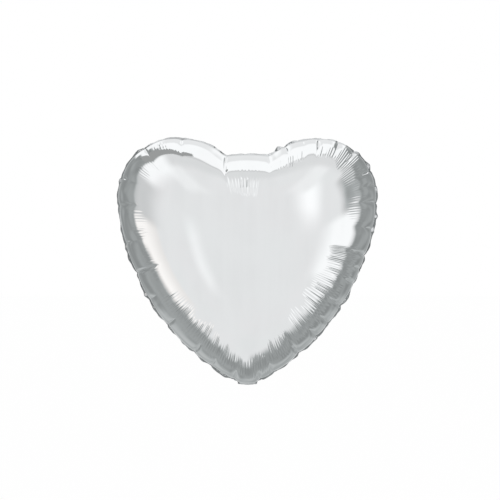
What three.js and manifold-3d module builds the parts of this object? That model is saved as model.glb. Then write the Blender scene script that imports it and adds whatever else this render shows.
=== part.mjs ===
// A heart-shaped foil balloon, inflated, with its tail folded up behind the back panel.
//
// Millimetres. +X is the balloon's right, seen from the front, +Y is its back and +Z is up.
// The origin is the middle of the fold where the tail leaves the heart's bottom tip, and the
// two films are sealed together in the plane y = 0.
//
// The films of the real balloon are 0.025 mm thick. Here each is FILM thick, so that it has
// a volume, and neighbouring films keep GAP between them.
import * as THREE from "three";
import { mergeVertices } from "three/addons/utils/BufferGeometryUtils.js";
import Module from "manifold-3d";

// Heart, measured to the outer edge of the sealed border
const HALF_WIDTH = 182.5;
const HEIGHT = 343;
const TIP_HALF_WIDTH = 16.5;    // the tip is cut off straight, as wide as the tail
const CLEFT_HEIGHT = 320;       // the straight edge between the two lobes
const SIDE_RADIUS = 310;
const LOBE_RADIUS = 85;
const INNER_LOBE_RADIUS = 112;
const DEPTH = 170;
const FULLNESS = 1.5;           // 1 is an ellipsoid, and inextensible film swells a little fuller
const MIDDLE_SHARE = 0.55;      // the fullest place, as a share of the height

// Films
const FILM = 0.5;
const VALVE_FILM = 0.3;
const GAP = 0.3;
const BORDER_WIDTH = 6;         // the two films heat-sealed together, all round the heart
const BORDER_THICKNESS = 2 * FILM;

// Neck, tail and valve
const NECK_HALF_WIDTH = 12.5;   // the unsealed way in, between the border's two ends
const TAIL_START = 3;           // from the fold to the tail's first flat material
const TAIL_ROOT = 20;           // straight, then the tail bends round behind the back panel
const TAIL_BEND_RADIUS = 60;
const TAIL_END = 27;
const TAIL_ROOT_ANGLE = 69;     // degrees from straight up, towards the back
const TAIL_END_ANGLE = 36;
const VALVE_HALF_WIDTH = 11.5;
const VALVE_HEIGHT = 125;       // above the fold, inside the balloon
const VALVE_CORNER = 5;
const VALVE_IN_TAIL = 45;       // below the fold, inside the tail

// How finely the curved panels are divided
const COLUMNS = 96;
const ROWS = 10;
const OUTLINE_STEPS = 576;      // a whole number of steps to each column
const SMOOTHING_STEPS = 4;      // film rounds the outline's corners off
const ROW_CROWDING = 1.8;       // above 1, rows are closer together at the seam
const SWEEP = 0.35;             // how far a column keeps square to the seam, and aims at the middle
const CHORDS = 32;
const TAIL_STEP = 4;            // one flat facet of the tail
const SAME_PLACE = 1e-4;        // corners nearer to each other than this are one corner

const FOIL = { color: 0xd9dbdc, roughness: 0.12, metalness: 1 };
const SEALED_FOIL = { color: 0xc9cccd, roughness: 0.25, metalness: 1 };
const CLEAR_FILM = { color: 0xe6e8e4, roughness: 0.35, metalness: 0 };

const wasm = await Module();
wasm.setup();

// ---- Outline -------------------------------------------------------------------------

// The centre of the side arc: it passes through the tip's corner and is tangent to the lobe.
function sideCentre(lobe, tip) {
  const toLobe = SIDE_RADIUS - LOBE_RADIUS;
  const across = new THREE.Vector2().subVectors(tip, lobe);
  const span = across.length();
  const along = (toLobe ** 2 - SIDE_RADIUS ** 2 + span ** 2) / (2 * span);
  const aside = Math.sqrt(toLobe ** 2 - along ** 2);
  across.normalize();
  const normal = new THREE.Vector2(across.y, -across.x);
  return lobe.clone().addScaledVector(across, along).addScaledVector(normal, aside);
}

// The outer edge of the sealed border, counter-clockwise from the middle of the tip, as (x, z).
function heartPath() {
  const tip = new THREE.Vector2(TIP_HALF_WIDTH, 0);
  const lobe = new THREE.Vector2(HALF_WIDTH - LOBE_RADIUS, HEIGHT - LOBE_RADIUS);
  const side = sideCentre(lobe, tip);
  const innerZ = HEIGHT - INNER_LOBE_RADIUS;
  const fromTip = Math.atan2(tip.y - side.y, tip.x - side.x);
  const toLobe = Math.atan2(lobe.y - side.y, lobe.x - side.x);
  const top = Math.PI / 2;
  const cleft = Math.PI - Math.asin((CLEFT_HEIGHT - innerZ) / INNER_LOBE_RADIUS);

  const path = new THREE.Path();
  path.moveTo(0, 0);
  path.lineTo(tip.x, tip.y);
  path.absarc(side.x, side.y, SIDE_RADIUS, fromTip, toLobe);
  path.absarc(lobe.x, lobe.y, LOBE_RADIUS, toLobe, top);
  path.absarc(lobe.x, innerZ, INNER_LOBE_RADIUS, top, cleft);
  path.absarc(-lobe.x, innerZ, INNER_LOBE_RADIUS, Math.PI - cleft, top);
  path.absarc(-lobe.x, lobe.y, LOBE_RADIUS, top, Math.PI - toLobe);
  path.absarc(-side.x, side.y, SIDE_RADIUS, Math.PI - toLobe, Math.PI - fromTip);
  path.lineTo(0, 0);
  return path;
}

// A closed run of points or directions, each averaged with its neighbours.
function smoothed(points) {
  const count = points.length;
  return points.map((_, i) => {
    const mean = new THREE.Vector2();
    for (let k = -SMOOTHING_STEPS; k <= SMOOTHING_STEPS; k += 1) {
      mean.add(points[(i + k + count) % count]);
    }
    return mean.divideScalar(2 * SMOOTHING_STEPS + 1);
  });
}

function outwardNormals(points) {
  const count = points.length;
  return points.map((_, i) => {
    const along = points[(i + 1) % count].clone().sub(points[(i + count - 1) % count]);
    return new THREE.Vector2(along.y, -along.x).normalize();
  });
}

const edge = smoothed(heartPath().getSpacedPoints(OUTLINE_STEPS).slice(0, OUTLINE_STEPS));
const outward = smoothed(outwardNormals(edge)).map((n) => n.normalize());

const atColumn = (_, i) => i % (OUTLINE_STEPS / COLUMNS) === 0;
const columnEdge = edge.filter(atColumn);
const columnNormals = outward.filter(atColumn);

// The outline moved inwards by a distance.
function insetOutline(distance) {
  return columnEdge.map((point, i) => point.clone().addScaledVector(columnNormals[i], -distance));
}

const seam = insetOutline(BORDER_WIDTH);
const seamCentre = new THREE.Vector2(0, MIDDLE_SHARE * HEIGHT);

// ---- Panels --------------------------------------------------------------------------

// How far two opposite directions run from a point before they meet the seam.
function chordThrough(point, angle) {
  const direction = new THREE.Vector2(Math.cos(angle), Math.sin(angle));
  let ahead = Infinity;
  let behind = Infinity;
  for (let i = 0; i < COLUMNS; i += 1) {
    const a = seam[i].clone().sub(point);
    const b = seam[(i + 1) % COLUMNS].clone().sub(point);
    const sideA = direction.cross(a);
    const sideB = direction.cross(b);
    if ((sideA < 0) !== (sideB < 0)) {
      const reach = a.lerp(b, sideA / (sideA - sideB)).dot(direction);
      ahead = reach > 0 ? Math.min(ahead, reach) : ahead;
      behind = reach < 0 ? Math.min(behind, -reach) : behind;
    }
  }
  return [ahead, behind];
}

// How much room a place has to swell: the harmonic mean, over all directions, of the product
// of a chord's two parts. It is zero at the seam and greatest in the middle. In a circle it is
// the same for every chord, and it would make an ellipsoid of a round balloon.
function roomToSwell(point) {
  let sum = 0;
  for (let k = 0; k < CHORDS; k += 1) {
    const [ahead, behind] = chordThrough(point, (Math.PI * (k + 0.5)) / CHORDS);
    sum += 1 / (ahead * behind);
  }
  return CHORDS / sum;
}

// The most room anywhere, which is on the middle line, near the fullest place.
function mostRoomToSwell() {
  let most = 0;
  for (let share = MIDDLE_SHARE - 0.08; share < MIDDLE_SHARE + 0.08; share += 0.01) {
    most = Math.max(most, roomToSwell(new THREE.Vector2(0, share * HEIGHT)));
  }
  return most;
}

const mostRoom = mostRoomToSwell();

// Rows run from the seam to the middle, close together at the seam where the film turns.
function panelPlan(column, row) {
  const share = (row / ROWS) ** ROW_CROWDING;
  const start = seam[column];
  const reach = start.distanceTo(seamCentre);
  const leave = start.clone().addScaledVector(columnNormals[column], -SWEEP * reach);
  const arrive = seamCentre.clone().lerp(start, SWEEP);
  return new THREE.CubicBezierCurve(start, leave, arrive, seamCentre).getPoint(share);
}

function panelHeight(point, row) {
  if (row === 0) {
    return 0;
  }
  const share = Math.min(roomToSwell(point) / mostRoom, 1);
  return (DEPTH / 2 - GAP / 2) * Math.sqrt(1 - (1 - share) ** FULLNESS);
}

// The outer face of one panel, as a ring of points for each row and a last single point.
// side is -1 for the front panel and +1 for the back one.
function panelFace(side) {
  const rings = [];
  for (let row = 0; row < ROWS; row += 1) {
    const ring = [];
    for (let column = 0; column < COLUMNS; column += 1) {
      const plan = panelPlan(column, row);
      const y = side * (GAP / 2 + panelHeight(plan, row));
      ring.push(new THREE.Vector3(plan.x, y, plan.y));
    }
    rings.push(ring);
  }
  const top = side * (GAP / 2 + panelHeight(seamCentre, ROWS));
  rings.push([new THREE.Vector3(seamCentre.x, top, seamCentre.y)]);
  return rings;
}

// The same face moved inwards by the film's thickness.
function innerFace(rings, side) {
  return rings.map((ring, row) => ring.map((point, column) => {
    if (row === 0) {
      const out = columnNormals[column];
      return point.clone().add(new THREE.Vector3(-out.x * FILM, 0, -out.y * FILM));
    }
    if (row === ROWS) {
      return point.clone().add(new THREE.Vector3(0, -side * FILM, 0));
    }
    const next = rings[row + 1][column % rings[row + 1].length];
    const inwards = next.clone().sub(rings[row - 1][column]);
    const count = ring.length;
    const round = ring[(column + 1) % count].clone().sub(ring[(column + count - 1) % count]);
    const normal = inwards.cross(round).normalize();
    return point.clone().addScaledVector(normal, normal.y * side > 0 ? -FILM : FILM);
  }));
}

// One closed surface over rings that begin and end in a single point.
function closedSurface(rings) {
  const positions = rings.flat().flatMap((point) => point.toArray());
  const index = [];
  let first = 0;
  for (let k = 0; k + 1 < rings.length; k += 1) {
    const here = rings[k].length;
    const there = rings[k + 1].length;
    for (let i = 0; i < COLUMNS; i += 1) {
      const a = first + i % here;
      const b = first + (i + 1) % here;
      const c = first + here + (i + 1) % there;
      const d = first + here + i % there;
      if (here > 1) {
        index.push(a, b, c);
      }
      if (there > 1) {
        index.push(a, c, d);
      }
    }
    first += here;
  }
  const geometry = new THREE.BufferGeometry();
  geometry.setAttribute("position", new THREE.Float32BufferAttribute(positions, 3));
  geometry.setIndex(index);
  return geometry;
}

function flipped(geometry) {
  const index = geometry.getIndex().array;
  for (let i = 0; i < index.length; i += 3) {
    [index[i], index[i + 1]] = [index[i + 1], index[i]];
  }
  return geometry;
}

// ---- Solids --------------------------------------------------------------------------

function toSolid(geometry) {
  const bare = geometry.clone();
  bare.deleteAttribute("normal");
  bare.deleteAttribute("uv");
  const merged = mergeVertices(bare, SAME_PLACE);
  return new wasm.Manifold(new wasm.Mesh({
    numProp: 3,
    vertProperties: new Float32Array(merged.getAttribute("position").array),
    triVerts: new Uint32Array(merged.getIndex().array),
  }));
}

function toGeometry(solid) {
  const mesh = solid.getMesh();
  const geometry = new THREE.BufferGeometry();
  geometry.setAttribute("position", new THREE.BufferAttribute(mesh.vertProperties, 3));
  geometry.setIndex(new THREE.BufferAttribute(mesh.triVerts, 1));
  return geometry;
}

// A box from its lowest corner to its highest.
function boxBetween(low, high) {
  const size = high.map((value, axis) => value - low[axis]);
  const box = new THREE.BoxGeometry(...size);
  return box.translate(...low.map((value, axis) => value + size[axis] / 2));
}

// A flat plate in the XZ plane, from y = back - thickness to y = back.
function uprightPlate(points, back, thickness) {
  const plate = new THREE.ExtrudeGeometry(new THREE.Shape(points), {
    depth: thickness,
    bevelEnabled: false,
  });
  return plate.rotateX(Math.PI / 2).translate(0, back, 0);
}

function domedPanel(side) {
  const outer = panelFace(side);
  const inner = innerFace(outer, side);
  const skin = closedSurface([...outer.reverse(), ...inner]);
  const shell = toSolid(side < 0 ? flipped(skin) : skin);

  // The neck: the film stays flat between the border's ends, and the valve passes through.
  const inside = GAP / 2 + VALVE_FILM + GAP;
  const mouthTop = BORDER_WIDTH + 2;
  const mouth = toSolid(boxBetween(
    [-NECK_HALF_WIDTH - GAP, -inside, 0], [NECK_HALF_WIDTH + GAP, inside, mouthTop]));
  const near = side < 0 ? -inside - FILM : inside;
  const flap = toSolid(boxBetween(
    [-NECK_HALF_WIDTH, near, GAP], [NECK_HALF_WIDTH, near + FILM, BORDER_WIDTH + FILM]));
  return toGeometry(shell.subtract(mouth).add(flap));
}

function sealedBorder() {
  const shape = new THREE.Shape(columnEdge);
  shape.holes.push(new THREE.Path(insetOutline(BORDER_WIDTH - GAP)));
  const ring = new THREE.ExtrudeGeometry(shape, {
    depth: BORDER_THICKNESS,
    bevelEnabled: false,
  });
  ring.rotateX(Math.PI / 2).translate(0, BORDER_THICKNESS / 2, 0);
  const reach = NECK_HALF_WIDTH + GAP;
  const neck = boxBetween([-reach, -BORDER_WIDTH, -1], [reach, BORDER_WIDTH, 2 * BORDER_WIDTH]);
  return toGeometry(toSolid(ring).subtract(toSolid(neck)));
}

// The part of the valve inside the heart, a strip with its top corners rounded off.
function valvePly(side) {
  const half = VALVE_HALF_WIDTH;
  const shoulder = VALVE_HEIGHT - VALVE_CORNER;
  const strip = new THREE.Path();
  strip.moveTo(-half, GAP);
  strip.lineTo(half, GAP);
  strip.lineTo(half, shoulder);
  strip.absarc(half - VALVE_CORNER, shoulder, VALVE_CORNER, 0, Math.PI / 2);
  strip.absarc(-half + VALVE_CORNER, shoulder, VALVE_CORNER, Math.PI / 2, Math.PI);
  strip.lineTo(-half, GAP);
  const back = side < 0 ? -GAP / 2 : GAP / 2 + VALVE_FILM;
  return uprightPlate(strip.getPoints(4), back, VALVE_FILM);
}

// ---- Tail ----------------------------------------------------------------------------

// The tail's middle line as (y, z): straight, bent round the back panel, and straight again.
function tailLine() {
  const rootAngle = Math.PI / 2 - THREE.MathUtils.degToRad(TAIL_ROOT_ANGLE);
  const endAngle = Math.PI / 2 - THREE.MathUtils.degToRad(TAIL_END_ANGLE);
  const root = new THREE.Vector2(Math.cos(rootAngle), Math.sin(rootAngle));
  const bendStart = root.clone().multiplyScalar(TAIL_START + TAIL_ROOT);
  const centre = bendStart.clone();
  centre.add(new THREE.Vector2(-root.y, root.x).multiplyScalar(TAIL_BEND_RADIUS));
  const line = new THREE.Path();
  line.moveTo(root.x * TAIL_START, root.y * TAIL_START);
  line.lineTo(bendStart.x, bendStart.y);
  line.absarc(centre.x, centre.y, TAIL_BEND_RADIUS,
    rootAngle - Math.PI / 2, endAngle - Math.PI / 2);
  const end = new THREE.Vector2(Math.cos(endAngle), Math.sin(endAngle));
  const last = line.currentPoint.clone().addScaledVector(end, TAIL_END);
  line.lineTo(last.x, last.y);
  return line;
}

const tail = tailLine();
const TAIL_LENGTH = tail.getLength();

// A strip of the tail, between two offsets from its middle line (positive is away from the
// balloon) and between two places across it, from the fold to a length along the line.
function tailStrip(nearOffset, farOffset, left, right, length) {
  const steps = Math.round(length / TAIL_STEP);
  const side = (offset) => Array.from({ length: steps + 1 }, (_, i) => {
    const at = (i / steps) * (length / TAIL_LENGTH);
    const along = tail.getTangentAt(at);
    const away = new THREE.Vector2(along.y, -along.x);
    return tail.getPointAt(at).addScaledVector(away, offset);
  });
  const outline = [...side(farOffset), ...side(nearOffset).reverse()];
  const strip = new THREE.ExtrudeGeometry(new THREE.Shape(outline), {
    depth: right - left,
    bevelEnabled: false,
  });
  // The profile's (y, z) become the strip's Y and Z, and it is drawn out along X.
  const turn = new THREE.Matrix4().makeBasis(
    new THREE.Vector3(0, 1, 0), new THREE.Vector3(0, 0, 1), new THREE.Vector3(1, 0, 0));
  return strip.applyMatrix4(turn).translate(left, 0, 0);
}

// ---- Assembly ------------------------------------------------------------------------

const balloon = new THREE.Group();

function addPiece(group, name, geometry, look) {
  geometry.computeVertexNormals();
  const mesh = new THREE.Mesh(geometry, new THREE.MeshStandardMaterial(look));
  mesh.name = name;
  group.add(mesh);
}

const heart = new THREE.Group();
addPiece(heart, "front_panel", domedPanel(-1), FOIL);
addPiece(heart, "back_panel", domedPanel(1), FOIL);
addPiece(heart, "sealed_border", sealedBorder(), SEALED_FOIL);
addPiece(heart, "valve_front_ply", valvePly(-1), CLEAR_FILM);
addPiece(heart, "valve_back_ply", valvePly(1), CLEAR_FILM);
balloon.add(heart);

// With the tail folded up, its front ply is the one away from the balloon.
const folded = new THREE.Group();
const valveNear = GAP / 2;
const valveFar = valveNear + VALVE_FILM;
const plyNear = valveFar + GAP;
const plyFar = plyNear + FILM;

function tailPly(nearOffset, farOffset) {
  return tailStrip(nearOffset, farOffset, -NECK_HALF_WIDTH, NECK_HALF_WIDTH, TAIL_LENGTH);
}

function tailValvePly(nearOffset, farOffset) {
  return tailStrip(nearOffset, farOffset, -VALVE_HALF_WIDTH, VALVE_HALF_WIDTH, VALVE_IN_TAIL);
}

addPiece(folded, "tail_front_ply", tailPly(plyNear, plyFar), FOIL);
addPiece(folded, "tail_back_ply", tailPly(-plyFar, -plyNear), FOIL);
addPiece(folded, "tail_valve_front_ply", tailValvePly(valveNear, valveFar), CLEAR_FILM);
addPiece(folded, "tail_valve_back_ply", tailValvePly(-valveFar, -valveNear), CLEAR_FILM);
for (const [name, from, to] of [
  ["tail_left_seal", -TIP_HALF_WIDTH, -NECK_HALF_WIDTH - GAP],
  ["tail_right_seal", NECK_HALF_WIDTH + GAP, TIP_HALF_WIDTH],
]) {
  addPiece(folded, name, tailStrip(-FILM, FILM, from, to, TAIL_LENGTH), SEALED_FOIL);
}
balloon.add(folded);

export default balloon;
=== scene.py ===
"""Looks for a heart-shaped foil balloon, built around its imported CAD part.

Shapes are worked out in millimetres in the row frame (+X the balloon's right seen from the
front, +Y its back, +Z up) and go into Blender in metres.
"""

import math

import bpy
import numpy as np
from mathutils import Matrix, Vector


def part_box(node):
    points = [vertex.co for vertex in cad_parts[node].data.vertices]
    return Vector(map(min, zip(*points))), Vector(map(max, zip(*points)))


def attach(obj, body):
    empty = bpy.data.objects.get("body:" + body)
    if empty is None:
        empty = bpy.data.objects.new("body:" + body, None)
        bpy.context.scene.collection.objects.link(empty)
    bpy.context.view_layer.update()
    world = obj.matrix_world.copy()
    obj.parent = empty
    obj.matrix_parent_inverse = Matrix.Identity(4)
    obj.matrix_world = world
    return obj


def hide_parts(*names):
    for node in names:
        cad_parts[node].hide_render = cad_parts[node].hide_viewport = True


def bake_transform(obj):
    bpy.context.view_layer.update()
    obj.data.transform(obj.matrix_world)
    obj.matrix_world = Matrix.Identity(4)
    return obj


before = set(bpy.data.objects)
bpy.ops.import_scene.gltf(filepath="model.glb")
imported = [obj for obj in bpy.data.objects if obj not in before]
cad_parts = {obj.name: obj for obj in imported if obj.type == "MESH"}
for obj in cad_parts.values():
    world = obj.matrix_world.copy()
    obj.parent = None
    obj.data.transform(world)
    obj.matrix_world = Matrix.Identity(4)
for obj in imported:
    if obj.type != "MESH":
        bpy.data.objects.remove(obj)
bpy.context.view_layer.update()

MM = 0.001
SEED = 12


def box_mm(node):
    """A CAD node's lowest and highest corners, in millimetres."""
    low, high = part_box(node)
    return np.array(low) / MM, np.array(high) / MM


# ---- Dimensions, in millimetres ----------------------------------------------------------

BORDER_HIGH = box_mm("sealed_border")[1]
HALF_WIDTH = BORDER_HIGH[0]
HEIGHT = BORDER_HIGH[2]
PILLOW_ROOM = 0.6        # the pillows along the seam stand out a little
HALF_DEPTH = box_mm("back_panel")[1][1] - PILLOW_ROOM
TIP_HALF_WIDTH = box_mm("tail_right_seal")[1][0]
NECK_HALF_WIDTH = box_mm("tail_front_ply")[1][0]
VALVE_HALF_WIDTH = box_mm("valve_front_ply")[1][0]
VALVE_TOP = box_mm("valve_front_ply")[1][2]
CLEFT_HEIGHT = HEIGHT - 23
SIDE_RADIUS = 310
LOBE_RADIUS = 85
INNER_LOBE_RADIUS = 112
SEAM_INSET = 4.6         # from the CAD part's outer edge to the line where the two films meet
NECK_SEAM_SHIFT = 2.8    # at the neck that line is this much nearer the edge
NECK_SEAM_BLEND = 3      # and it gets there over this much to each side
BORDER_WIDTH = 5.2       # the fused border outside that line
NECK_BORDER_SHARE = 0.3  # of that width, where the border ends beside the neck
NECK_PART_TOP = 60       # below this the border counts as beside the neck
CORNER_ROUNDING = 9      # along the outline, to each side of its corners
TURN_ROUNDING = 14       # the same for the directions in which the columns leave the seam
MIDDLE = np.array([0.0, 0.55 * HEIGHT])   # where the film's columns meet

BEFORE_FOLD = 7.0        # the tail's films start this far above the fold, inside the neck
FOLD_RADIUS = 2.6
FOLD_CORNER_LIFT = 4.5   # the fold's two ends ride up
TAIL_ROOT = 23           # from the fold to the tail's bend
TAIL_BEND_RADIUS = 60
TAIL_END = 27
TAIL_ROOT_ANGLE = 69     # degrees from straight up, towards the back
TAIL_END_ANGLE = 36
TAIL_CLEARANCE = 4.6     # how far the puckered back film pushes the tail out
TAIL_SPACING = 1.2       # between points along and across the tail
TAIL_FILM_OFFSET = 0.6   # from its middle line to each of its two films
FOLD_GATHER = 0.2        # how much narrower the tail is at the fold, as a share
SEAL_OVERLAP = 0.4       # of each seal strip over the films' edges
VALVE_IN_TAIL = 45
VALVE_GATHER = 0.2       # how much narrower the valve is inside the neck, as a share
VALVE_GATHER_END = 25    # its full width is this far above where the tail's films start

# ---- How finely the film is divided ------------------------------------------------------

COLUMNS = 2048           # along the seam
ROWS = 64                # from the seam to the middle
ROW_CROWDING = 1.6
HALVINGS = (34, 44, 54)  # rows after which there are half as many columns
OUTLINE_DETAIL = 8       # outline points to each column


# ---- Outline and swell -------------------------------------------------------------------

def arc(centre, radius, start, end, steps=160):
    angles = np.linspace(start, end, steps, endpoint=False)
    return np.stack([centre[0] + radius * np.cos(angles), centre[1] + radius * np.sin(angles)], 1)


def half_outline():
    """The right half of the border's outer edge as (x, z), from the tip up to the cleft."""
    tip = np.array([TIP_HALF_WIDTH, 0.0])
    lobe = np.array([HALF_WIDTH - LOBE_RADIUS, HEIGHT - LOBE_RADIUS])
    inner = np.array([lobe[0], HEIGHT - INNER_LOBE_RADIUS])
    # The side's centre is SIDE_RADIUS from the tip, and the side is tangent to the lobe.
    across = tip - lobe
    span = np.linalg.norm(across)
    to_lobe = SIDE_RADIUS - LOBE_RADIUS
    along = (to_lobe**2 - SIDE_RADIUS**2 + span**2) / (2 * span)
    aside = math.sqrt(to_lobe**2 - along**2)
    unit = across / span
    side = lobe + unit * along + np.array([unit[1], -unit[0]]) * aside
    from_tip = math.atan2(*(tip - side)[::-1])
    to_top = math.atan2(*(lobe - side)[::-1])
    cleft = math.pi - math.asin((CLEFT_HEIGHT - inner[1]) / INNER_LOBE_RADIUS)
    return np.concatenate([
        arc(side, SIDE_RADIUS, from_tip, to_top),
        arc(lobe, LOBE_RADIUS, to_top, math.pi / 2),
        arc(inner, INNER_LOBE_RADIUS, math.pi / 2, cleft),
    ])


def evenly_spaced(points, count):
    closed = np.concatenate([points, points[:1]])
    travelled = np.concatenate([[0], np.cumsum(np.linalg.norm(np.diff(closed, axis=0), axis=1))])
    at = np.linspace(0, travelled[-1], count, endpoint=False)
    return np.stack([np.interp(at, travelled, axis) for axis in closed.T], 1), travelled[-1]


def smoothed(values, reach):
    """Values round a closed line, each averaged with its neighbours out to reach places."""
    kernel = np.hanning(2 * reach + 1)
    kernel /= kernel.sum()
    wrapped = np.concatenate([values[-reach:], values, values[:reach]])
    if values.ndim == 1:
        return np.convolve(wrapped, kernel, "valid")
    return np.stack([np.convolve(axis, kernel, "valid") for axis in wrapped.T], 1)


def outward(points):
    along = np.roll(points, -1, 0) - np.roll(points, 1, 0)
    along /= np.linalg.norm(along, axis=1)[:, None]
    return np.stack([along[:, 1], -along[:, 0]], 1)


right_half = half_outline()
left_half = right_half[::-1] * np.array([-1, 1])
edge, PERIMETER = evenly_spaced(
    np.concatenate([[[0.0, 0.0]], right_half, left_half]), COLUMNS * OUTLINE_DETAIL)
PITCH = PERIMETER / COLUMNS
FINE_PITCH = PITCH / OUTLINE_DETAIL
edge = smoothed(edge, int(CORNER_ROUNDING / FINE_PITCH))
edge_out = outward(edge)
# At the neck the films aren't fused, and they swell down to the fold.
from_tip = np.abs((np.arange(len(edge)) * FINE_PITCH + PERIMETER / 2) % PERIMETER - PERIMETER / 2)
neck = np.clip((NECK_HALF_WIDTH + 2 - from_tip) / 4, 0, 1)
seam_inset = SEAM_INSET - NECK_SEAM_SHIFT * smoothed(neck, int(NECK_SEAM_BLEND / FINE_PITCH))
seam = (edge - edge_out * seam_inset[:, None])[::OUTLINE_DETAIL]
seam_out = smoothed(edge_out, int(TURN_ROUNDING / FINE_PITCH))[::OUTLINE_DETAIL]
seam_out /= np.linalg.norm(seam_out, axis=1)[:, None]
seam_out_3d = np.stack([seam_out[:, 0], np.zeros(COLUMNS), seam_out[:, 1]], 1)

# The film swells as a soap film would under gas pressure over the same outline. That height
# is a sum of sources outside the outline, weighted so that it comes to nothing at the seam.
SOURCES = 220
SOURCE_DISTANCE = 26
sources = (edge + edge_out * SOURCE_DISTANCE)[::COLUMNS * OUTLINE_DETAIL // SOURCES]


def source_terms(points):
    logs = np.log(np.linalg.norm(points[:, None] - sources[None], axis=2))
    return np.hstack([logs, np.ones((len(points), 1))])


def from_middle(points):
    return ((points - MIDDLE) ** 2).sum(1) / 4


seam_sample = seam[::4]
weights = np.linalg.lstsq(source_terms(seam_sample), from_middle(seam_sample), rcond=1e-10)[0]


def soap_film(points):
    return source_terms(points) @ weights - from_middle(points)


def column_plans():
    """Each column as points (x, z) from the seam to the middle, square to the seam at first."""
    share = (np.linspace(0, 1, ROWS + 1) ** ROW_CROWDING)[:, None, None]
    reach = np.linalg.norm(MIDDLE - seam, axis=1)
    to_centre_line = np.abs(seam[:, 0]) / np.maximum(np.abs(seam_out[:, 0]), 1e-3)
    straight = np.minimum(0.35 * reach, 0.4 * to_centre_line + 1)
    straight = smoothed(straight, int(12 / PITCH))[:, None]
    leave = seam - seam_out * straight
    arrive = MIDDLE + (seam - MIDDLE) * 0.35
    rest = 1 - share
    return (rest**3 * seam + 3 * rest**2 * share * leave
            + 3 * rest * share**2 * arrive + share**3 * MIDDLE)


FULLNESS = 1.5   # 1 would be an ellipsoid: film that doesn't stretch swells a little fuller
plan = column_plans()
plan_steps = np.linalg.norm(np.diff(plan, axis=0), axis=2)
INSET = np.concatenate([np.zeros((1, COLUMNS)), np.cumsum(plan_steps, axis=0)])   # from the seam
room = np.stack([soap_film(row) for row in plan])
room = room - room[0] * np.exp(-INSET / 8)
room = np.clip(room / room.max(), 0, 1)
swell = HALF_DEPTH * np.sqrt(1 - (1 - room) ** FULLNESS)
dome = np.stack([plan[..., 0], -swell, plan[..., 1]], 2)


def surface_normals(grid):
    """Outward normals of the front dome, row by row."""
    round_it = np.roll(grid, -1, 1) - np.roll(grid, 1, 1)
    inwards = np.empty_like(grid)
    inwards[1:-1] = grid[2:] - grid[:-2]
    inwards[0] = grid[1] - grid[0]
    inwards[-1] = grid[-1] - grid[-2]
    normals = np.cross(inwards, round_it)
    normals /= np.maximum(np.linalg.norm(normals, axis=2), 1e-9)[..., None]
    normals *= np.sign((normals[1] * seam_out_3d).sum())
    normals[0] = seam_out_3d
    normals[-1] = (0, -1, 0)
    return normals


dome_normals = surface_normals(dome)


# ---- Creases, pillows and fine ripples ----------------------------------------------------

def ease(low, high, value):
    share = np.clip((value - low) / (high - low), 0, 1)
    return share * share * (3 - 2 * share)


def wavering(rng, reach):
    """Smooth random values round the seam, about as often above as below zero."""
    values = smoothed(rng.normal(size=COLUMNS), max(2, int(reach / PITCH)))
    return values / values.std()


# each column's direction from the middle, in degrees counter-clockwise from the right
clock = np.degrees(np.arctan2(seam[:, 1] - MIDDLE[1], seam[:, 0] - MIDDLE[0])) % 360


def column_at(degrees):
    """The seam's column in a direction from the middle, counter-clockwise from the right."""
    return int(np.argmin(np.abs((clock - degrees + 180) % 360 - 180)))


# Where the film gathers at the seam: (direction in degrees, depth, reach in from the seam)
CREASES = [
    (276, 4.5, 16), (282, 3.5, 20), (296, 6, 44), (308, 4, 20), (317, 4, 24), (328, 6, 30),
    (341, 4, 18), (349, 3.5, 14), (356, 5.5, 34), (8, 3.5, 16), (19, 5, 26), (26, 4, 14),
    (32, 4, 18), (42, 6, 26), (49, 3.5, 14), (57, 5, 20), (63, 2, 8), (70, 4, 14),
    (77.5, 3.8, 30), (102.5, 3.8, 46), (121, 3, 12), (136, 2.4, 12), (151, 2.6, 12),
    (162, 2.8, 30), (178, 2, 14), (193, 6, 40), (208, 1.8, 12), (224, 3.4, 18), (243, 5, 22),
    (253, 3, 16), (264, 5, 18),
]
# Where the film ripples: (from, to, strength, and how far in from the seam it begins and ends)
RIPPLES = [
    (79, 103, 1.5, 31, 60), (82, 99, 0.8, 11, 26), (63, 74, 0.9, 12, 38),
    (38, 57, 1.1, 9, 36), (31, 46, 1.3, 2, 30), (24, 41, 0.55, 18, 42),
    (10, 24, 0.25, 18, 46), (338, 358, 1.4, 12, 56), (319, 338, 1.6, 12, 54),
    (298, 319, 1.8, 12, 54), (272, 297, 1.5, 10, 44), (257, 272, 0.8, 14, 42),
    (240, 258, 1.6, 12, 50), (212, 240, 1.7, 15, 46), (184, 201, 0.4, 14, 40),
    (164, 176, 0.4, 18, 42), (117, 133, 0.9, 5, 19), (136, 146, 0.5, 18, 40),
]
creases = sorted((column_at(degrees), depth, reach) for degrees, depth, reach in CREASES)
columns = np.arange(COLUMNS)


def along_seam(column):
    """Each column's distance along the seam from one of them."""
    return ((columns - column + COLUMNS // 2) % COLUMNS - COLUMNS // 2) * PITCH


def crease_depths(reaches):
    """How far each crease pulls the film in: a wide valley and a sharp fold that fades out."""
    total = np.zeros_like(INSET)
    for (column, depth, _), reach in zip(creases, reaches):
        aside = np.abs(along_seam(column))
        valley = np.exp(-aside / (5.5 + 0.5 * depth)) * np.exp(-((INSET / 15) ** 1.5))
        fold = np.exp(-(np.sqrt(aside**2 + 0.25) - 0.5) / 1.6)
        fold = fold * (0.14 + 0.3 * ease(0, 5, INSET)) * (1 - ease(0.4 * reach, reach, INSET))
        total += depth * (0.26 * valley + fold)
    return total


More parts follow.
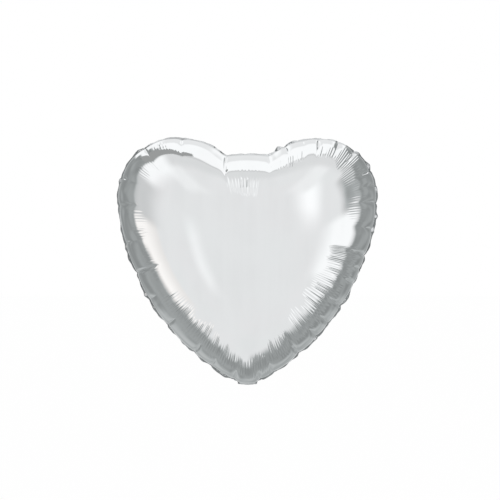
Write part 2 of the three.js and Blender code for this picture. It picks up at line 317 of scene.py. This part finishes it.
def pillows(rng):
    """Between one crease and the next the film bulges, and leans in or out a little."""
    total = np.zeros_like(INSET)
    for k, (start, _, _) in enumerate(creases):
        count = (creases[(k + 1) % len(creases)][0] - start) % COLUMNS
        share = np.arange(count) / count
        skew = rng.uniform(0.85, 1.25)
        bulge = 4 * share**skew * (1 - share**skew)
        height = 1.1 * min(1.5, count * PITCH / 36) * rng.uniform(0.75, 1.25)
        ends = ease(0, 0.3, share) * (1 - ease(0.7, 1, share))
        lean = 0.65 * rng.uniform(-1, 1) * ends
        slant = rng.choice((-1, 1)) * rng.uniform(0.3, 1.1) * (share - 0.5) * ends
        here = (start + np.arange(count)) % COLUMNS
        inset = INSET[:, here]
        fullness = (0.5 + 0.5 * ease(0, 8, inset)) * np.exp(-((inset / 20) ** 1.6))
        total[:, here] += height * bulge * fullness + slant * np.exp(-inset / 9)
        total[:, here] += lean * inset / 9 * np.exp(1 - inset / 9) * (1 - ease(20, 36, inset))
    return total


RIPPLE_SPACING = 4.4
RIPPLE_HEIGHT = 0.2


def ripples(rng, spans):
    """Fine ripples that run in from the seam, where the film's slack is taken up."""
    crowding = 1 + 0.13 * wavering(rng, 10)
    phase = 2 * math.pi * np.cumsum(crowding) * PITCH / RIPPLE_SPACING
    height = np.clip(0.75 + 0.4 * wavering(rng, 7), 0.1, 1.6)
    uneven = 2 * wavering(rng, 16)
    strength = np.zeros_like(INSET)
    for start, end, amount, begins, ends in spans:
        share = ((clock - start + 90) % 360 - 90) / ((end - start) % 360)
        window = ease(-0.15, 0.12, share) * (1 - ease(0.88, 1.15, share))
        fade = ease(0, 5, INSET - begins - uneven)
        fade = fade * (1 - ease(-10, 0, INSET - ends - 1.5 * uneven))
        strength = np.maximum(strength, amount * window * fade)
    wave = np.cos(phase) + 0.45 * np.cos(0.53 * phase + 1)
    return RIPPLE_HEIGHT * wave * height * strength


rng = np.random.default_rng(SEED)
seam_swing = np.zeros(COLUMNS)   # the seam steps to the front or the back at a crease
for column, depth, _ in creases:
    turn = rng.choice((-1, 1))
    seam_swing += turn * 0.3 * depth * np.exp(-((along_seam(column) / 6) ** 2))
bulges = pillows(rng)
swing = seam_swing * np.exp(-INSET / 5)


def film_grid(side, reaches, spans):
    """The outer face of one film, rows by columns by (x, y, z). side is -1 for the front."""
    out = bulges + ripples(rng, spans) - crease_depths(reaches)
    grid = dome + dome_normals * out[..., None]
    grid[..., 1] = grid[..., 1] * -side + swing
    return grid


front_reaches = [reach for _, _, reach in creases]
back_reaches = [0.9 * front_reaches[(7 * k + 3) % len(creases)] for k in range(len(creases))]
back_spans = [((160 - end) % 360, (160 - start) % 360, 0.65 * amount, begins, ends)
              for start, end, amount, begins, ends in RIPPLES]
front_grid = film_grid(-1, front_reaches, RIPPLES)
back_grid = film_grid(1, back_reaches, back_spans)


# ---- Meshes ------------------------------------------------------------------------------

def add_object(name, points, faces):
    """points in millimetres, faces as lists of point numbers."""
    mesh = bpy.data.meshes.new(name)
    mesh.from_pydata((np.asarray(points) * MM).tolist(), [], faces)
    mesh.validate()
    mesh.shade_smooth()
    piece = bpy.data.objects.new(name, mesh)
    bpy.context.scene.collection.objects.link(piece)
    return piece


def dome_faces(row_columns):
    """Faces between rings whose number of points stays the same or halves from row to row."""
    faces = []
    first = 0
    for here, there in zip(row_columns, row_columns[1:]):
        next_first = first + here
        for i in range(there):
            a, d = next_first + i, next_first + (i + 1) % there
            if here == there:
                faces.append((first + i, first + (i + 1) % here, d, a))
            elif there == 1:
                faces += [(first + k, first + (k + 1) % here, a) for k in range(here)]
            else:
                b, m, c = first + 2 * i, first + 2 * i + 1, first + (2 * i + 2) % here
                faces += [(b, m, a), (m, c, d), (m, d, a)]
        first = next_first
    return faces


def film(name, grid, side):
    row_columns = [COLUMNS >> sum(row > limit for limit in HALVINGS) for row in range(ROWS)]
    row_columns.append(1)
    points = np.concatenate([
        grid[row, ::COLUMNS // count] for row, count in enumerate(row_columns)])
    faces = dome_faces(row_columns)
    if side > 0:
        faces = [face[::-1] for face in faces]
    return add_object(name, points, faces)


def ribbon(name, near, far, closed=False):
    """A thin closed solid between two grids of the same size, rows by columns by (x, y, z)."""
    rows, count = near.shape[:2]
    points = np.concatenate([near.reshape(-1, 3), far.reshape(-1, 3)])
    other = rows * count
    faces = []

    def number(row, column):
        return row * count + column % count

    last = count if closed else count - 1
    for r in range(rows - 1):
        for c in range(last):
            quad = [number(r, c), number(r, c + 1), number(r + 1, c + 1), number(r + 1, c)]
            faces.append(quad)
            faces.append([other + k for k in quad[::-1]])
    for c in range(last):
        for r, turn in ((0, -1), (rows - 1, 1)):
            pair = [number(r, c), number(r, c + 1)][::turn]
            faces.append([pair[1], pair[0], other + pair[0], other + pair[1]])
    if not closed:
        for r in range(rows - 1):
            for c, turn in ((0, 1), (count - 1, -1)):
                pair = [number(r, c), number(r + 1, c)][::turn]
                faces.append([pair[1], pair[0], other + pair[0], other + pair[1]])
    return add_object(name, points, faces)


front_film = film("heart_front_film", front_grid, -1)
back_film = film("heart_back_film", back_grid, 1)


# ---- Sealed border -----------------------------------------------------------------------

# Where the border leans back less than elsewhere: (direction, reach along the seam, lean)
BORDER_FLATS = [
    (72, 4, 26), (41, 7, 30), (34, 6, 22), (25, 6, 32), (14, 4, 20), (8, 4, 24),
    (331, 6, 38), (307, 7, 34), (205, 4, 24), (152, 4, 30), (226, 6, 36),
]


def border():
    """The two films fused flat outside the seam, open at the neck."""
    seam_line = front_grid[0]
    keep = np.abs(seam_line[:, 0]) > NECK_HALF_WIDTH + 0.2
    keep |= seam_line[:, 2] > NECK_PART_TOP
    start = int(np.argmax(keep))
    order = (start + np.arange(COLUMNS))[: int(keep.sum())] % COLUMNS
    width = BORDER_WIDTH * np.clip(0.98 + 0.12 * wavering(rng, 7), 0.65, 1.25)
    beside_neck = ease(NECK_HALF_WIDTH - 1, NECK_HALF_WIDTH + 7, np.abs(seam_line[:, 0]))
    taper = NECK_BORDER_SHARE + (1 - NECK_BORDER_SHARE) * beside_neck
    width *= np.where(seam_line[:, 2] < NECK_PART_TOP, taper, 1)
    lean = np.clip(56 + 9 * wavering(rng, 9), 36, 76)
    for degrees, reach, flat_lean in BORDER_FLATS:
        share = np.exp(-((along_seam(column_at(degrees)) / reach) ** 2))
        lean += (flat_lean - lean) * share
    lean = np.radians(lean)
    crimp = 0.1 * wavering(rng, 2)
    near, far = [], []
    # shares of the border's width, from just inside the seam to its outer edge
    for share in (-0.14, 0, 0.2, 0.4, 0.6, 0.8, 0.93, 1.0):
        bend = lean + 0.25 * ease(0.75, 1, share)
        line = seam_line + seam_out_3d * (width * share * np.cos(bend))[:, None]
        back = width * share * np.sin(bend) + crimp * ease(0, 0.2, share)
        half = 0.2 if share < 1 else 0.06
        near.append(line + np.stack([0 * back, back - half, 0 * back], 1))
        far.append(line + np.stack([0 * back, back + half, 0 * back], 1))
    return ribbon("heart_sealed_border", np.array(near)[:, order], np.array(far)[:, order])


border_piece = border()


# ---- Tail and valve ----------------------------------------------------------------------

def tail_line(spacing):
    """The tail's middle line from inside the neck, as points and outward directions (y, z)."""
    root = math.radians(TAIL_ROOT_ANGLE)
    end = math.radians(TAIL_END_ANGLE)
    fold_turn = math.pi - root
    corner_cut = FOLD_RADIUS * math.tan(fold_turn / 2)
    runs = [   # (length, how far the heading turns towards straight up)
        (BEFORE_FOLD - corner_cut, 0),
        (FOLD_RADIUS * fold_turn, fold_turn),
        (TAIL_ROOT - corner_cut, 0),
        (TAIL_BEND_RADIUS * (root - end), root - end),
        (TAIL_END, 0),
    ]
    heading, place = math.pi, np.array([0.0, BEFORE_FOLD])
    points, directions = [], []
    for length, turn in runs:
        count = max(2, int(round(length / spacing)), int(turn * 9))
        for _ in range(count):
            middle = heading - turn / count / 2
            points.append(place)
            directions.append(np.array([-math.cos(heading), math.sin(heading)]))
            place = place + np.array([math.sin(middle), math.cos(middle)]) * length / count
            heading -= turn / count
    points.append(place)
    directions.append(np.array([-math.cos(heading), math.sin(heading)]))
    return np.array(points), -np.array(directions)


def strip(name, offset, low_x, high_x, seed, length=None, thickness=0.12, wave=0.09, belly=0.35):
    """A strip of film that follows the tail's line, at an offset away from the balloon."""
    local = np.random.default_rng(SEED + seed)
    line, away = tail_line(TAIL_SPACING)
    steps = np.linalg.norm(np.diff(line, axis=0), axis=1)
    travelled = np.concatenate([[0], np.cumsum(steps)])
    kept = travelled <= (length or travelled[-1])
    line = line[kept]
    away = away[kept]
    travelled = travelled[kept]
    across = np.linspace(low_x, high_x, max(4, int((high_x - low_x) / TAIL_SPACING)))
    ripple = np.zeros((len(line), len(across)))
    for _ in range(7):   # mostly lengthwise folds
        along, sideways = local.uniform(-0.05, 0.05), local.uniform(0.25, 0.9)
        ripple += local.normal() * np.sin(
            travelled[:, None] * along + across[None] * sideways + local.uniform(0, 6.3))
    centre = (across - (low_x + high_x) / 2) / ((high_x - low_x) / 2)
    settle = ease(0, 8, travelled)[:, None] * (1 - centre**4)[None]
    bulge = math.copysign(belly, offset) * (1 - centre**2)[None]
    bulge = bulge * ease(5, 14, travelled)[:, None]
    height = offset + settle * wave * ripple + bulge
    clear_of_film = ease(BEFORE_FOLD - 1, BEFORE_FOLD + 7, travelled)
    clear_of_film = clear_of_film * (1 - 0.4 * ease(30, 65, travelled))
    height = height + TAIL_CLEARANCE * clear_of_film[:, None]
    gather = 1 - FOLD_GATHER * (1 - ease(14, 40, travelled))
    at_fold = 1 - ease(BEFORE_FOLD, BEFORE_FOLD + 9, travelled)
    ends_up = FOLD_CORNER_LIFT * (across / TIP_HALF_WIDTH) ** 2
    sheets = []
    for half in (thickness / 2, -thickness / 2):
        lift = (height + half)[..., None] * away[:, None]
        flat = np.broadcast_to(line[:, None], lift.shape) + lift
        flat[..., 1] += at_fold[:, None] * ends_up[None]
        x = across[None] * gather[:, None]
        sheets.append(np.concatenate([x[..., None], flat], 2))
    return ribbon(name, sheets[0], sheets[1])


tail_front = strip("tail_front_film", TAIL_FILM_OFFSET, -NECK_HALF_WIDTH, NECK_HALF_WIDTH, seed=1)
tail_back = strip("tail_back_film", -TAIL_FILM_OFFSET, -NECK_HALF_WIDTH, NECK_HALF_WIDTH, seed=2)
tail_seals = [
    strip("tail_right_seal_strip", 0.02, NECK_HALF_WIDTH - SEAL_OVERLAP, TIP_HALF_WIDTH,
          seed=3, thickness=0.5, wave=0.05),
    strip("tail_left_seal_strip", 0.02, -TIP_HALF_WIDTH, SEAL_OVERLAP - NECK_HALF_WIDTH,
          seed=4, thickness=0.5, wave=0.05),
]
tail_valve = [
    strip(f"tail_valve_{side}_film", offset, 1 - VALVE_HALF_WIDTH, VALVE_HALF_WIDTH - 1,
          seed=5, length=BEFORE_FOLD + VALVE_IN_TAIL, thickness=0.06, wave=0.02, belly=0.1)
    for side, offset in (("front", 0.22), ("back", -0.22))]


def inner_valve(name, offset):
    """A clear ply of the valve, which hangs free in the gas above the neck."""
    height, across = np.meshgrid(
        np.linspace(BEFORE_FOLD, VALVE_TOP, 70),
        np.linspace(1 - VALVE_HALF_WIDTH, VALVE_HALF_WIDTH - 1, 18), indexing="ij")
    free = ease(BEFORE_FOLD, VALVE_TOP, height)
    sway = free * (2.5 * np.sin(height / 19) + 1.1 * np.sin(across / 5 + height / 33))
    widened = ease(BEFORE_FOLD, BEFORE_FOLD + VALVE_GATHER_END, height)
    across = across * (1 - VALVE_GATHER + VALVE_GATHER * widened)
    sheets = [np.stack([across, offset + sway + half, height], 2) for half in (-0.03, 0.03)]
    return ribbon(name, *sheets)


inner_valves = [inner_valve("valve_front_film", -0.15), inner_valve("valve_back_film", 0.15)]


# ---- Materials ---------------------------------------------------------------------------

class Graph:
    """A node tree with short ways to add nodes and join them."""

    def __init__(self, tree):
        self.tree = tree
        tree.nodes.clear()

    def add(self, kind, inputs=None, **settings):
        node = self.tree.nodes.new(kind)
        for key, value in settings.items():
            setattr(node, key, value)
        for key, value in (inputs or {}).items():
            self.put(node.inputs[key], value)
        return node

    def put(self, socket, value):
        if isinstance(value, bpy.types.NodeSocket):
            self.tree.links.new(value, socket)
        else:
            socket.default_value = value

    def math(self, operation, *values):
        node = self.add("ShaderNodeMath", operation=operation)
        for socket, value in zip(node.inputs, values):
            self.put(socket, value)
        return node.outputs[0]

    def rise(self, value, low, high):
        """0 below low, 1 above high, and smooth between them."""
        node = self.add("ShaderNodeMapRange", {
            "Value": value, "From Min": low, "From Max": high}, interpolation_type="SMOOTHSTEP")
        return node.outputs[0]

    def window(self, value, low, high, soft):
        """1 between low and high, with edges soft wide."""
        inside = self.rise(value, low - soft / 2, low + soft / 2)
        outside = self.rise(value, high - soft / 2, high + soft / 2)
        return self.math("MULTIPLY", inside, self.math("SUBTRACT", 1.0, outside))

    def mix(self, share, first, second, kind="RGBA"):
        node = self.add("ShaderNodeMix", data_type=kind)
        sockets = [s for s in node.inputs if s.enabled]
        for socket, value in zip(sockets, (share, first, second)):
            self.put(socket, value)
        return next(s for s in node.outputs if s.enabled)

    def noise(self, scale, detail=2.0, roughness=0.5, vector=None, **inputs):
        values = {"Scale": scale, "Detail": detail, "Roughness": roughness, **inputs}
        if vector is not None:
            values["Vector"] = vector
        return self.add("ShaderNodeTexNoise", values).outputs[0]


def material(name):
    made = bpy.data.materials.new(name)
    made.use_nodes = True
    graph = Graph(made.node_tree)
    shader = graph.add("ShaderNodeBsdfPrincipled")
    output = graph.add("ShaderNodeOutputMaterial")
    made.node_tree.links.new(shader.outputs[0], output.inputs[0])
    return made, graph, shader


def foil_material(name, tint, unevenness, low_rough, high_rough, bump_scale, bump_strength):
    """Metallised film: bright, almost a mirror, with faint rolling marks and fine dimples."""
    made, graph, shader = material(name)
    place = graph.add("ShaderNodeTexCoord").outputs["Object"]
    stretched = graph.add("ShaderNodeMapping", {"Vector": place, "Scale": (9, 9, 0.8)})
    rolling = graph.noise(6.0, 3.0, vector=stretched.outputs[0])
    cloud = graph.noise(14.0, 4.0, 0.6, vector=place)
    shade = graph.math("MULTIPLY", rolling, cloud)
    light = tuple(0.95 * c for c in tint) + (1,)
    dull = tuple((0.92 - unevenness) * c for c in tint) + (1,)
    graph.put(shader.inputs["Base Color"], graph.mix(graph.rise(shade, 0.12, 0.42), light, dull))
    shader.inputs["Metallic"].default_value = 1.0
    rough = graph.add("ShaderNodeMapRange", {
        "Value": cloud, "From Min": 0.3, "From Max": 0.7,
        "To Min": low_rough, "To Max": high_rough})
    graph.put(shader.inputs["Roughness"], rough.outputs[0])
    dimples = graph.noise(bump_scale, 3.0, 0.55, vector=place)
    bump = graph.add("ShaderNodeBump", {
        "Height": dimples, "Strength": bump_strength, "Distance": 0.0004})
    graph.put(shader.inputs["Normal"], bump.outputs[0])
    return made


def clear_film_material():
    made, graph, shader = material("clear_film")
    place = graph.add("ShaderNodeTexCoord").outputs["Object"]
    streaks = graph.add("ShaderNodeMapping", {"Vector": place, "Scale": (40, 40, 4)})
    haze = graph.noise(5.0, 3.0, vector=streaks.outputs[0])
    graph.put(shader.inputs["Base Color"],
              graph.mix(haze, (0.86, 0.88, 0.86, 1), (0.72, 0.76, 0.74, 1)))
    rough = graph.add("ShaderNodeMapRange", {"Value": haze, "To Min": 0.18, "To Max": 0.4})
    graph.put(shader.inputs["Roughness"], rough.outputs[0])
    shader.inputs["Transmission Weight"].default_value = 0.7
    shader.inputs["IOR"].default_value = 1.5
    return made


silver = foil_material(
    "silver_foil", (1.0, 1.0, 1.0), unevenness=0.0,
    low_rough=0.035, high_rough=0.07, bump_scale=900.0, bump_strength=0.03)
sealed = foil_material(
    "sealed_foil", (0.74, 0.745, 0.75), unevenness=0.34,
    low_rough=0.1, high_rough=0.18, bump_scale=1400.0, bump_strength=0.12)
clear = clear_film_material()


# ---- Pieces on their bodies --------------------------------------------------------------

def finish_piece(piece, look, slot, *nodes):
    piece.data.materials.append(look)
    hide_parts(*nodes)


finish_piece(front_film, silver, "silver_foil", "front_panel")
finish_piece(back_film, silver, "silver_foil", "back_panel")
finish_piece(border_piece, sealed, "sealed_foil", "sealed_border")
for piece in (front_film, back_film, border_piece):
    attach(piece, "heart")

finish_piece(tail_front, silver, "silver_foil", "tail_front_ply")
finish_piece(tail_back, silver, "silver_foil", "tail_back_ply")
finish_piece(tail_seals[0], sealed, "sealed_foil", "tail_right_seal")
finish_piece(tail_seals[1], sealed, "sealed_foil", "tail_left_seal")
for piece, side in zip(tail_valve, ("front", "back")):
    finish_piece(piece, clear, "clear_film", f"tail_valve_{side}_ply")
for piece in (tail_front, tail_back, *tail_seals, *tail_valve):
    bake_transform(piece)
for piece, side in zip(inner_valves, ("front", "back")):
    finish_piece(piece, clear, "clear_film", f"valve_{side}_ply")
    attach(piece, "heart")


# ---- Studio ------------------------------------------------------------------------------

GREY = 0.82
DARK = 0.33
WHITE = 1.02


def studio_light(graph):
    """What the foil mirrors: a pale room with white softboxes round it and a darker rear.

    A direction is given by its angle from straight ahead, where the camera is, and by its
    place round that line, in degrees counter-clockwise from straight down.
    """
    direction = graph.add("ShaderNodeTexCoord").outputs["Generated"]
    x, y, z = graph.add("ShaderNodeSeparateXYZ", {"Vector": direction}).outputs
    degrees = 180 / math.pi
    turned = graph.math("ARCCOSINE", graph.math("MULTIPLY", y, -1.0))
    angle = graph.math("MULTIPLY", turned, degrees)
    around = graph.math("ARCTAN2", graph.math("MULTIPLY", x, -1.0), z)
    wheel = graph.math("ADD", graph.math("MULTIPLY", around, degrees), 180.0)

    def patch(light, brightness, angles, places, soft_angle, soft_place):
        mask = graph.math("MULTIPLY", graph.window(angle, *angles, soft_angle),
                          graph.window(wheel, *places, soft_place))
        return graph.mix(mask, light, brightness, "FLOAT")

    def lamp(light, brightness, sideways, heights, slope, soft):
        """A small softbox near the camera, whose middle line leans sideways by the slope."""
        across = graph.math("ADD", x, graph.math("MULTIPLY", z, slope))
        mask = graph.math("MULTIPLY", graph.window(across, *sideways, soft),
                          graph.window(z, *heights, 2 * soft))
        ahead = graph.rise(y, 0.0, -0.3)
        return graph.mix(graph.math("MULTIPLY", mask, ahead), light, brightness, "FLOAT")

    light = lamp(GREY, 0.95, (-0.33, -0.23), (-0.26, 0.14), 0.12, 0.12)
    light = lamp(light, 1.07, (0.3, 0.48), (0.16, 0.6), 0.2, 0.16)
    # (brightness, angles from ahead, places round, softness of each), later ones over earlier
    for brightness, angles, places, soft_angle, soft_place in (
        (0.64, (50, 120), (231, 270), 26, 8),         # left, higher up
        (WHITE, (59, 120), (269, 308), 26, 7),        # left
        (WHITE, (37, 120), (62, 97), 22, 9),          # right
        (0.42, (54, 120), (98, 132), 14, 9),          # right, higher up
        (0.75, (64, 120), (140, 205), 16, 16),        # overhead
        (0.9, (34, 62), (152, 168), 10, 8),           # two faint bands below that
        (0.9, (34, 62), (192, 207), 10, 8),
        (WHITE, (52, 120), (203, 236), 20, 12),       # upper left
        (DARK, (83, 400), (-200, 500), 7, 1),         # the rear
        (DARK, (71, 400), (-200, 55), 16, 14),        # the floor's shadow, right
        (DARK, (74, 400), (318, 700), 14, 12),        # and left
        (GREY, (50, 82), (349, 700), 8, 6),           # a gap in it, straight down
        (GREY, (50, 82), (-200, 3), 8, 6),
        (DARK, (79, 400), (66, 100), 16, 8),          # right
        (DARK, (77, 400), (284, 318), 16, 8),         # lower left
        (DARK, (84, 400), (226, 268), 26, 10),        # left
        (WHITE, (84, 400), (148, 204), 5, 6),         # the ceiling behind
        (WHITE, (110, 400), (200, 214), 8, 5),
        (WHITE, (130, 400), (212, 226), 10, 5),
        (0.84, (122, 400), (158, 200), 8, 10),
        (0.46, (116, 400), (-200, 58), 14, 10),       # low down behind
        (0.46, (116, 400), (302, 700), 14, 10),
        (0.72, (161, 400), (-200, 500), 14, 1),       # far behind
    ):
        light = patch(light, brightness, angles, places, soft_angle, soft_place)
    clutter = graph.noise(2.6, 1.5, vector=direction)
    dim = graph.mix(graph.rise(clutter, 0.3, 0.7), 0.84, 1.14, "FLOAT")
    dimmed = graph.math("MULTIPLY", light, dim)
    light = graph.mix(graph.rise(light, 0.7, 0.4), light, dimmed, "FLOAT")
    drift = graph.noise(2.6, 2.0, vector=direction)
    cool = graph.mix(drift, (0.965, 1.0, 1.005, 1), (0.995, 0.995, 1.01, 1))
    warmth = graph.math("MULTIPLY", graph.window(wheel, 268, 312, 8),
                        graph.window(angle, 50, 86, 6))
    cool = graph.mix(warmth, cool, (1.005, 0.99, 0.975, 1))
    cool = graph.mix(graph.rise(light, 0.7, 0.4), cool, (0.95, 1.005, 1.01, 1))
    node = graph.add("ShaderNodeVectorMath", operation="SCALE")
    graph.put(node.inputs[0], cool)
    graph.put(node.inputs["Scale"], light)
    return node.outputs[0]


def make_world():
    world = bpy.data.worlds.new("studio")
    bpy.context.scene.world = world
    world.use_nodes = True
    world.cycles.sampling_method = "NONE"
    graph = Graph(world.node_tree)
    mirrored = graph.add("ShaderNodeBackground", {"Color": studio_light(graph), "Strength": 1.0})
    plain = graph.add("ShaderNodeBackground", {"Color": (1, 1, 1, 1), "Strength": 1.0})
    ray = graph.add("ShaderNodeLightPath")
    chosen = graph.add("ShaderNodeMixShader")
    graph.put(chosen.inputs[0], ray.outputs["Is Glossy Ray"])
    graph.put(chosen.inputs[1], plain.outputs[0])
    graph.put(chosen.inputs[2], mirrored.outputs[0])
    output = graph.add("ShaderNodeOutputWorld")
    graph.put(output.inputs[0], chosen.outputs[0])


FLOOR_SIZE = 90    # metres
FLOOR_DROP = 1.3   # metres below the tip


def make_floor():
    bpy.ops.mesh.primitive_plane_add(size=FLOOR_SIZE, location=(0, 0, -FLOOR_DROP))
    floor = bpy.context.object
    floor.name = "floor"
    floor.visible_glossy = False
    made, _, shader = material("pale_floor")
    shader.inputs["Base Color"].default_value = (0.995, 0.995, 0.995, 1)
    shader.inputs["Roughness"].default_value = 1.0
    shader.inputs["Specular IOR Level"].default_value = 0.0
    floor.data.materials.append(made)


def make_flag():
    """A dark card above the left lobe, which only the foil mirrors."""
    height = 0.46   # metres above the tip
    mesh = bpy.data.meshes.new("flag")
    corners = [(-0.068, -0.064), (-0.068, -0.047), (-0.125, -0.032), (-0.18, -0.012),
               (-0.26, 0.06), (-0.26, -0.05), (-0.18, -0.064), (-0.125, -0.07)]
    mesh.from_pydata([(x, y, height) for x, y in corners], [], [tuple(range(len(corners)))])
    flag = bpy.data.objects.new("flag", mesh)
    bpy.context.scene.collection.objects.link(flag)
    flag.visible_camera = flag.visible_diffuse = flag.visible_shadow = False
    made = bpy.data.materials.new("dark_card")
    made.use_nodes = True
    graph = Graph(made.node_tree)
    glow = graph.add("ShaderNodeEmission", {"Color": (0.34, 0.35, 0.35, 1), "Strength": 1.0})
    output = graph.add("ShaderNodeOutputMaterial")
    graph.put(output.inputs[0], glow.outputs[0])
    mesh.materials.append(made)


def make_camera():
    distance = 2.0   # metres in front of the seam's plane
    field = 0.69   # how wide a view it has of the seam's plane
    aim_x = 0.0035
    aim_z = 0.185
    data = bpy.data.cameras.new("camera")
    data.sensor_width = 36
    data.lens = data.sensor_width * distance / field
    camera = bpy.data.objects.new("camera", data)
    camera.location = (aim_x, -distance, aim_z)
    camera.rotation_euler = (math.pi / 2, 0, 0)
    bpy.context.scene.collection.objects.link(camera)
    bpy.context.scene.camera = camera


make_world()
make_floor()
make_flag()
make_camera()
bpy.context.scene.view_settings.view_transform = "Standard"
bpy.context.scene.cycles.max_bounces = 16
bpy.context.scene.cycles.glossy_bounces = 16
